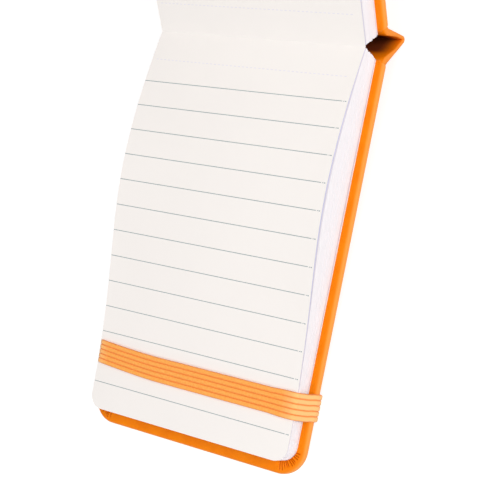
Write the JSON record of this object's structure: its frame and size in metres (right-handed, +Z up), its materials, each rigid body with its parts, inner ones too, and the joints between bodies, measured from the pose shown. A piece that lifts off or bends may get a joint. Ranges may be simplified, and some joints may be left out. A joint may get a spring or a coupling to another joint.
{
  "type": "pocket journal",
  "caption": "Top-bound pocket journal lying open at a spread, with soft-edged orange hard covers, white ruled leaves and a ribbed elastic band round its lower half.",
  "frame": {"origin": "on the surface that the journal lies on, under the centre of its bounding box", "axes": "+X across the page to the reader's right, +Y from the foot of the back cover towards the spine, +Z up"},
  "size_m": [0.092, 0.258, 0.1012],
  "materials": {
    "leatherette": "fine-grained satin leatherette",
    "board": "grey board",
    "leaves": "matt uncoated paper",
    "endpaper": "matt endpaper",
    "lining": "open-weave cloth",
    "elastic": "ribbed woven elastic"
  },
  "bodies": {
    "back_half": {"back_cover": "leatherette", "back_board": "board", "back_endpaper": "endpaper", "unturned_leaves": "leaves", "unturned_lining": "lining", "elastic_band": "elastic"},
    "front_half": {"front_cover": "leatherette", "front_board": "board", "front_endpaper": "endpaper", "turned_leaves": "leaves", "turned_lining": "lining"},
    "spine_lower": {"spine_lower_panel": "leatherette"},
    "spine_upper": {"spine_upper_panel": "leatherette"}
  },
  "joints": [
    {"name": "front_cover_hinge", "type": "hinge", "parent": "back_half", "child": "front_half", "pos_m": [0, 0.01126, 0.01896], "axis": [1, 0, 0], "range_deg": [-34.4, 132]},
    {"name": "spine_lower_fold", "type": "hinge", "parent": "back_half", "child": "spine_lower", "pos_m": [0, 0.01108, 0.00868], "axis": [1, 0, 0], "range_deg": [-30.5, 116], "deforming": ["spine_lower_panel", "spine_upper_panel"]},
    {"name": "spine_upper_fold", "type": "hinge", "parent": "front_half", "child": "spine_upper", "pos_m": [0, 0.01812, 0.01131], "axis": [1, 0, 0], "range_deg": [-130.5, 34], "deforming": ["spine_lower_panel", "spine_upper_panel"]}
  ],
  "couplings": [
    {"joint": "spine_lower_fold", "follows": "front_cover_hinge", "ratio": 0.869},
    {"joint": "spine_upper_fold", "follows": "front_cover_hinge", "ratio": -0.978}
  ]
}
